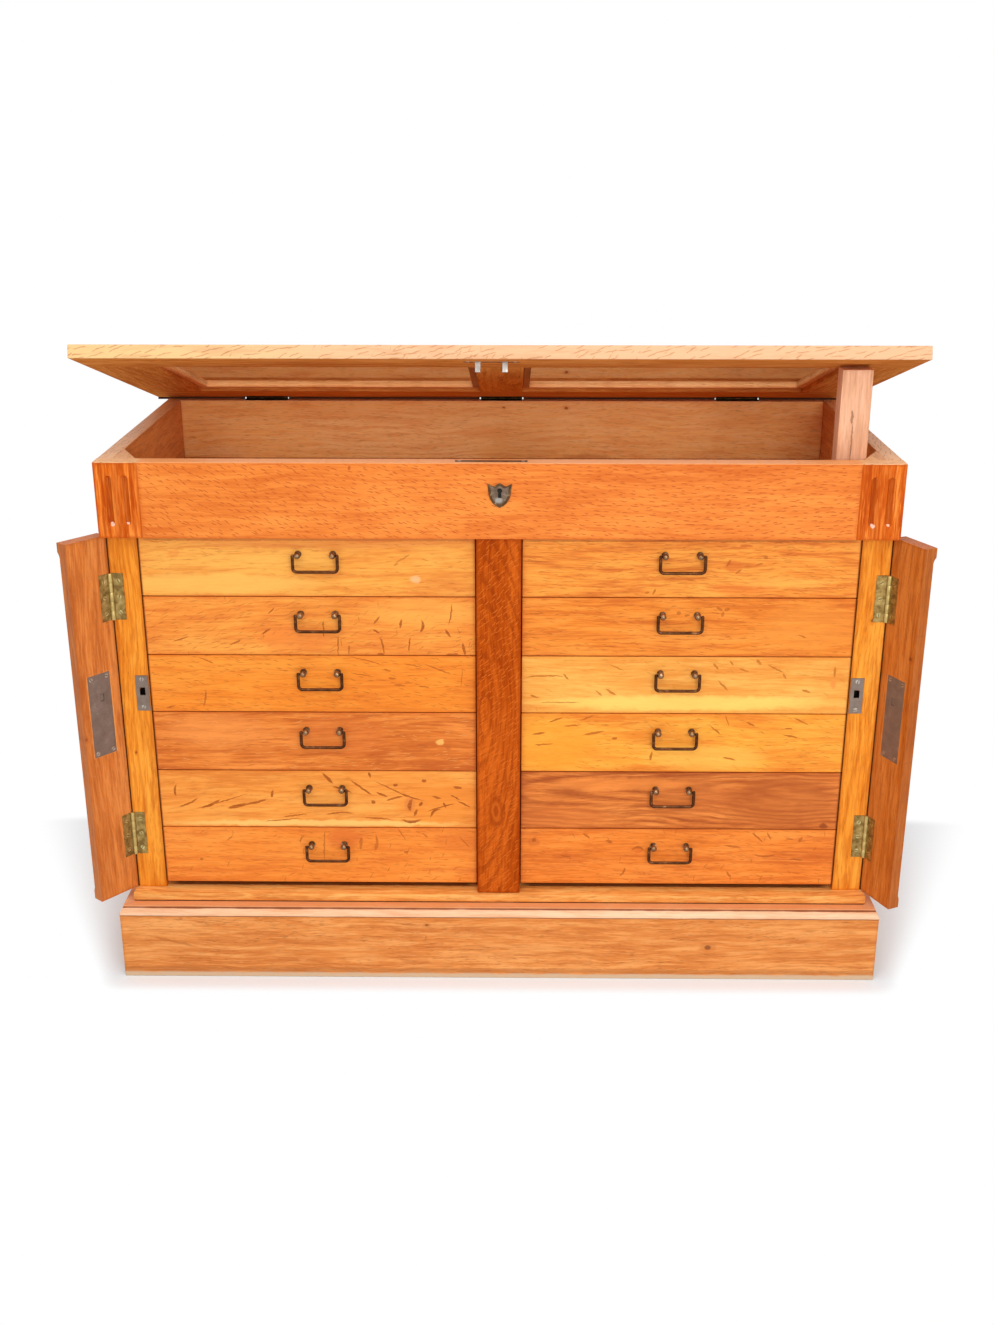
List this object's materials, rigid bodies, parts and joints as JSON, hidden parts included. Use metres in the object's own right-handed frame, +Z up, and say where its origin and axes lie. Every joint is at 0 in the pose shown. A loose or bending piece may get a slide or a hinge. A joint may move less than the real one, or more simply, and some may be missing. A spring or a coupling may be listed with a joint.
{
  "type": "display cabinet",
  "caption": "Floor-standing oak cabinet with two banks of bail-handled drawers, hinged locking pilaster flaps and a glazed display box under a propped hinged lid.",
  "frame": {"origin": "on the floor, midway across the cabinet and midway through its case depth, on the underside of the centre bearer", "axes": "+Z up, front faces -Y, +X to the right seen from the front"},
  "size_m": [1.3272, 0.583, 1.0517],
  "materials": {
    "oak_plinth": "satin",
    "oak_case": "satin",
    "oak_pilaster": "satin",
    "oak_box": "satin",
    "oak_lid": "satin",
    "oak_flaps": "satin",
    "oak_drawers": "satin",
    "inner_wood": "matte",
    "prop_wood": "matte",
    "hinge_brass": "aged",
    "lock_steel": "aged",
    "bright_steel": "bright",
    "handle_bronze": "aged",
    "escutcheon_bronze": "aged",
    "glass": "clear"
  },
  "bodies": {
    "cabinet": {"plinth_front": "oak_plinth", "plinth_returns": "oak_plinth", "plinth_frame": "inner_wood", "base_moulding": "oak_plinth", "base_board": "oak_plinth", "case_sides": "oak_case", "case_back": "inner_wood", "front_posts": "oak_case", "centre_pilaster": "oak_pilaster", "centre_partition": "inner_wood", "drawer_runners": "inner_wood", "box_front": "oak_box", "box_ends": "oak_box", "box_back": "oak_box", "box_floor": "inner_wood", "corner_blocks": "oak_box", "corner_gussets": "oak_box", "post_hinge_leaves": "hinge_brass", "box_hinge_leaves": "hinge_brass", "strike_plates": "lock_steel", "lid_lock": "lock_steel", "escutcheon": "escutcheon_bronze"},
    "lid": {"lid_frame": "oak_lid", "lid_glass": "glass", "lid_beads": "oak_lid", "lid_hinge_leaves": "hinge_brass", "link_plate": "bright_steel"},
    "prop": {"prop": "prop_wood"},
    "flap_left": {"flap_left": "oak_flaps", "flap_hinge_leaves_left": "hinge_brass", "flap_lock_left": "lock_steel"},
    "flap_bolt_left": {"flap_bolt_left": "bright_steel"},
    "flap_right": {"flap_right": "oak_flaps", "flap_hinge_leaves_right": "hinge_brass", "flap_lock_right": "lock_steel"},
    "flap_bolt_right": {"flap_bolt_right": "bright_steel"},
    "drawer_left_1": {"drawer_left_1": "oak_drawers"},
    "drawer_left_2": {"drawer_left_2": "oak_drawers"},
    "drawer_left_3": {"drawer_left_3": "oak_drawers"},
    "drawer_left_4": {"drawer_left_4": "oak_drawers"},
    "drawer_left_5": {"drawer_left_5": "oak_drawers"},
    "drawer_left_6": {"drawer_left_6": "oak_drawers"},
    "drawer_right_1": {"drawer_right_1": "oak_drawers"},
    "drawer_right_2": {"drawer_right_2": "oak_drawers"},
    "drawer_right_3": {"drawer_right_3": "oak_drawers"},
    "drawer_right_4": {"drawer_right_4": "oak_drawers"},
    "drawer_right_5": {"drawer_right_5": "oak_drawers"},
    "drawer_right_6": {"drawer_right_6": "oak_drawers"},
    "bail_left_1": {"bail_left_1": "handle_bronze"},
    "bail_left_2": {"bail_left_2": "handle_bronze"},
    "bail_left_3": {"bail_left_3": "handle_bronze"},
    "bail_left_4": {"bail_left_4": "handle_bronze"},
    "bail_left_5": {"bail_left_5": "handle_bronze"},
    "bail_left_6": {"bail_left_6": "handle_bronze"},
    "bail_right_1": {"bail_right_1": "handle_bronze"},
    "bail_right_2": {"bail_right_2": "handle_bronze"},
    "bail_right_3": {"bail_right_3": "handle_bronze"},
    "bail_right_4": {"bail_right_4": "handle_bronze"},
    "bail_right_5": {"bail_right_5": "handle_bronze"},
    "bail_right_6": {"bail_right_6": "handle_bronze"}
  },
  "joints": [
    {"name": "hinge_flap_left", "type": "hinge", "parent": "cabinet", "child": "flap_left", "pos_m": [-0.6056, -0.2425, 0.4535], "axis": [0, 0, -1], "range_deg": [-130, 45]},
    {"name": "hinge_flap_right", "type": "hinge", "parent": "cabinet", "child": "flap_right", "pos_m": [0.6056, -0.2425, 0.4535], "axis": [0, 0, 1], "range_deg": [-115, 60]},
    {"name": "hinge_lid", "type": "hinge", "parent": "cabinet", "child": "lid", "pos_m": [0, 0.2698, 0.8785], "axis": [-1, 0, 0], "range_deg": [0, 75]},
    {"name": "slide_prop", "type": "slide", "parent": "cabinet", "child": "prop", "axis": [-1, 0, 0], "range_m": [0, 0.4]},
    {"name": "slide_bolt_left", "type": "slide", "parent": "flap_left", "child": "flap_bolt_left", "axis": [0.766, -0.6428, 0], "range_m": [0, 0.0075]},
    {"name": "slide_bolt_right", "type": "slide", "parent": "flap_right", "child": "flap_bolt_right", "axis": [-0.9063, -0.4226, 0], "range_m": [0, 0.0075]},
    {"name": "slide_drawer_left_6", "type": "slide", "parent": "cabinet", "child": "drawer_left_6", "axis": [0, -1, 0], "range_m": [0, 0.34]},
    {"name": "swing_bail_left_6", "type": "hinge", "parent": "drawer_left_6", "child": "bail_left_6", "pos_m": [-0.2835, -0.253, 0.22825], "axis": [-1, 0, 0], "range_deg": [-19, 160]},
    {"name": "slide_drawer_left_5", "type": "slide", "parent": "cabinet", "child": "drawer_left_5", "axis": [0, -1, 0], "range_m": [0, 0.34]},
    {"name": "swing_bail_left_5", "type": "hinge", "parent": "drawer_left_5", "child": "bail_left_5", "pos_m": [-0.2835, -0.253, 0.33125], "axis": [-1, 0, 0], "range_deg": [-19, 160]},
    {"name": "slide_drawer_left_4", "type": "slide", "parent": "cabinet", "child": "drawer_left_4", "axis": [0, -1, 0], "range_m": [0, 0.34]},
    {"name": "swing_bail_left_4", "type": "hinge", "parent": "drawer_left_4", "child": "bail_left_4", "pos_m": [-0.2835, -0.253, 0.43425], "axis": [-1, 0, 0], "range_deg": [-19, 160]},
    {"name": "slide_drawer_left_3", "type": "slide", "parent": "cabinet", "child": "drawer_left_3", "axis": [0, -1, 0], "range_m": [0, 0.34]},
    {"name": "swing_bail_left_3", "type": "hinge", "parent": "drawer_left_3", "child": "bail_left_3", "pos_m": [-0.2835, -0.253, 0.5345], "axis": [-1, 0, 0], "range_deg": [-19, 160]},
    {"name": "slide_drawer_left_2", "type": "slide", "parent": "cabinet", "child": "drawer_left_2", "axis": [0, -1, 0], "range_m": [0, 0.34]},
    {"name": "swing_bail_left_2", "type": "hinge", "parent": "drawer_left_2", "child": "bail_left_2", "pos_m": [-0.2835, -0.253, 0.632], "axis": [-1, 0, 0], "range_deg": [-19, 160]},
    {"name": "slide_drawer_left_1", "type": "slide", "parent": "cabinet", "child": "drawer_left_1", "axis": [0, -1, 0], "range_m": [0, 0.34]},
    {"name": "swing_bail_left_1", "type": "hinge", "parent": "drawer_left_1", "child": "bail_left_1", "pos_m": [-0.2835, -0.253, 0.7295], "axis": [-1, 0, 0], "range_deg": [-19, 160]},
    {"name": "slide_drawer_right_6", "type": "slide", "parent": "cabinet", "child": "drawer_right_6", "axis": [0, -1, 0], "range_m": [0, 0.34]},
    {"name": "swing_bail_right_6", "type": "hinge", "parent": "drawer_right_6", "child": "bail_right_6", "pos_m": [0.2835, -0.253, 0.22825], "axis": [-1, 0, 0], "range_deg": [-19, 160]},
    {"name": "slide_drawer_right_5", "type": "slide", "parent": "cabinet", "child": "drawer_right_5", "axis": [0, -1, 0], "range_m": [0, 0.34]},
    {"name": "swing_bail_right_5", "type": "hinge", "parent": "drawer_right_5", "child": "bail_right_5", "pos_m": [0.2835, -0.253, 0.33125], "axis": [-1, 0, 0], "range_deg": [-19, 160]},
    {"name": "slide_drawer_right_4", "type": "slide", "parent": "cabinet", "child": "drawer_right_4", "axis": [0, -1, 0], "range_m": [0, 0.34]},
    {"name": "swing_bail_right_4", "type": "hinge", "parent": "drawer_right_4", "child": "bail_right_4", "pos_m": [0.2835, -0.253, 0.43425], "axis": [-1, 0, 0], "range_deg": [-19, 160]},
    {"name": "slide_drawer_right_3", "type": "slide", "parent": "cabinet", "child": "drawer_right_3", "axis": [0, -1, 0], "range_m": [0, 0.34]},
    {"name": "swing_bail_right_3", "type": "hinge", "parent": "drawer_right_3", "child": "bail_right_3", "pos_m": [0.2835, -0.253, 0.5345], "axis": [-1, 0, 0], "range_deg": [-19, 160]},
    {"name": "slide_drawer_right_2", "type": "slide", "parent": "cabinet", "child": "drawer_right_2", "axis": [0, -1, 0], "range_m": [0, 0.34]},
    {"name": "swing_bail_right_2", "type": "hinge", "parent": "drawer_right_2", "child": "bail_right_2", "pos_m": [0.2835, -0.253, 0.632], "axis": [-1, 0, 0], "range_deg": [-19, 160]},
    {"name": "slide_drawer_right_1", "type": "slide", "parent": "cabinet", "child": "drawer_right_1", "axis": [0, -1, 0], "range_m": [0, 0.34]},
    {"name": "swing_bail_right_1", "type": "hinge", "parent": "drawer_right_1", "child": "bail_right_1", "pos_m": [0.2835, -0.253, 0.7295], "axis": [-1, 0, 0], "range_deg": [-19, 160]}
  ]
}
